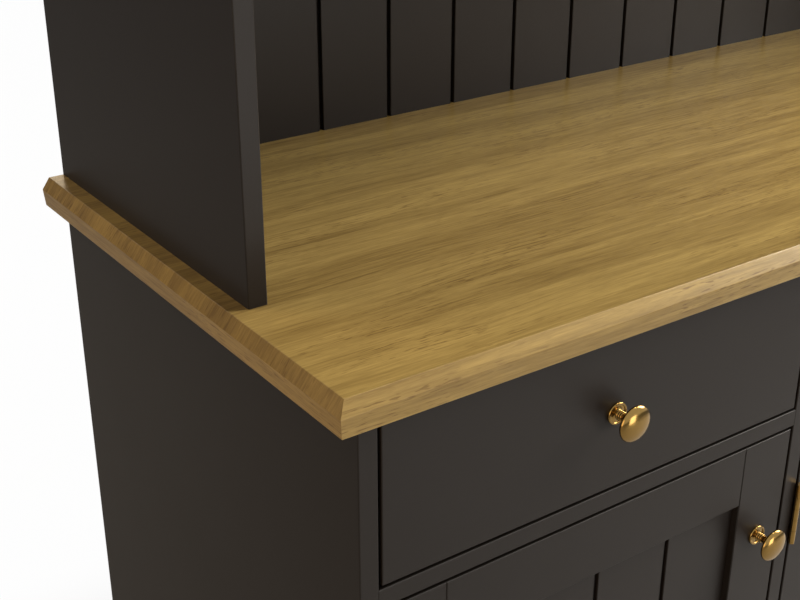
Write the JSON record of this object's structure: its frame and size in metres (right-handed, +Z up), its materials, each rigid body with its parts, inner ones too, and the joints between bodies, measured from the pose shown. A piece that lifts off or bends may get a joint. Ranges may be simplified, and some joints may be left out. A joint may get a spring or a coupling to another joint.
{
  "type": "tall sideboard",
  "caption": "Charcoal-painted tall sideboard: a cupboard base with inset drawers over framed plank doors, an oak worktop, and an open shelved hutch with a tongue-and-groove back.",
  "frame": {"origin": "on the floor, under the middle of the whole object's box", "axes": "+X to the right as seen from the front, -Y towards the front, +Z up"},
  "size_m": [1.456, 0.517, 1.888],
  "materials": {
    "charcoal_paint": "satin paint",
    "oak": "satin oil",
    "pale_hardwood": "clear lacquer",
    "brass": "polished",
    "zinc_steel": "zinc plated",
    "dark_plastic": "moulded"
  },
  "bodies": {
    "carcass": {"base_back_panel": "charcoal_paint", "base_bottom": "charcoal_paint", "base_dividers": "charcoal_paint", "base_side_left": "charcoal_paint", "base_side_right": "charcoal_paint", "cornice": "charcoal_paint", "cupboard_shelves": "charcoal_paint", "drawer_rails": "charcoal_paint", "drawer_runners": "pale_hardwood", "floor_glides": "dark_plastic", "frame_hinge_leaves": "brass", "hutch_back_boards": "charcoal_paint", "hutch_back_rails": "charcoal_paint", "hutch_dowels": "pale_hardwood", "hutch_fascia": "charcoal_paint", "hutch_shelves": "charcoal_paint", "hutch_side_left": "charcoal_paint", "hutch_side_right": "charcoal_paint", "hutch_top": "charcoal_paint", "joining_plates": "zinc_steel", "magnet_catches": "dark_plastic", "plinth_boards": "charcoal_paint", "shelf_pins": "zinc_steel", "top_stretchers": "charcoal_paint", "wall_brackets": "zinc_steel", "worktop": "oak", "worktop_screws": "zinc_steel"},
    "drawer_left": {"drawer_left_back": "pale_hardwood", "drawer_left_bottom": "pale_hardwood", "drawer_left_front": "charcoal_paint", "drawer_left_knob": "brass", "drawer_left_sides": "pale_hardwood"},
    "drawer_middle": {"drawer_middle_back": "pale_hardwood", "drawer_middle_bottom": "pale_hardwood", "drawer_middle_front": "charcoal_paint", "drawer_middle_knob": "brass", "drawer_middle_sides": "pale_hardwood"},
    "drawer_right": {"drawer_right_back": "pale_hardwood", "drawer_right_bottom": "pale_hardwood", "drawer_right_front": "charcoal_paint", "drawer_right_knob": "brass", "drawer_right_sides": "pale_hardwood"},
    "door_left": {"door_left_boards": "charcoal_paint", "door_left_hinge_leaves": "brass", "door_left_knob": "brass", "door_left_rails": "charcoal_paint", "door_left_stiles": "charcoal_paint", "door_left_strike": "zinc_steel"},
    "door_middle": {"door_middle_boards": "charcoal_paint", "door_middle_hinge_leaves": "brass", "door_middle_knob": "brass", "door_middle_rails": "charcoal_paint", "door_middle_stiles": "charcoal_paint", "door_middle_strike": "zinc_steel"},
    "door_right": {"door_right_boards": "charcoal_paint", "door_right_hinge_leaves": "brass", "door_right_knob": "brass", "door_right_rails": "charcoal_paint", "door_right_stiles": "charcoal_paint", "door_right_strike": "zinc_steel"}
  },
  "joints": [
    {"name": "drawer_left_slide", "type": "slide", "parent": "carcass", "child": "drawer_left", "axis": [0, -1, 0], "range_m": [0, 0.3]},
    {"name": "door_left_hinge", "type": "hinge", "parent": "carcass", "child": "door_left", "pos_m": [-0.6746, -0.2365, 0.39125], "axis": [0, 0, -1], "range_deg": [0, 170]},
    {"name": "drawer_middle_slide", "type": "slide", "parent": "carcass", "child": "drawer_middle", "axis": [0, -1, 0], "range_m": [0, 0.3]},
    {"name": "door_middle_hinge", "type": "hinge", "parent": "carcass", "child": "door_middle", "pos_m": [-0.2186, -0.2365, 0.39125], "axis": [0, 0, -1], "range_deg": [0, 120]},
    {"name": "drawer_right_slide", "type": "slide", "parent": "carcass", "child": "drawer_right", "axis": [0, -1, 0], "range_m": [0, 0.3]},
    {"name": "door_right_hinge", "type": "hinge", "parent": "carcass", "child": "door_right", "pos_m": [0.6746, -0.2365, 0.39125], "axis": [0, 0, 1], "range_deg": [0, 170]}
  ]
}
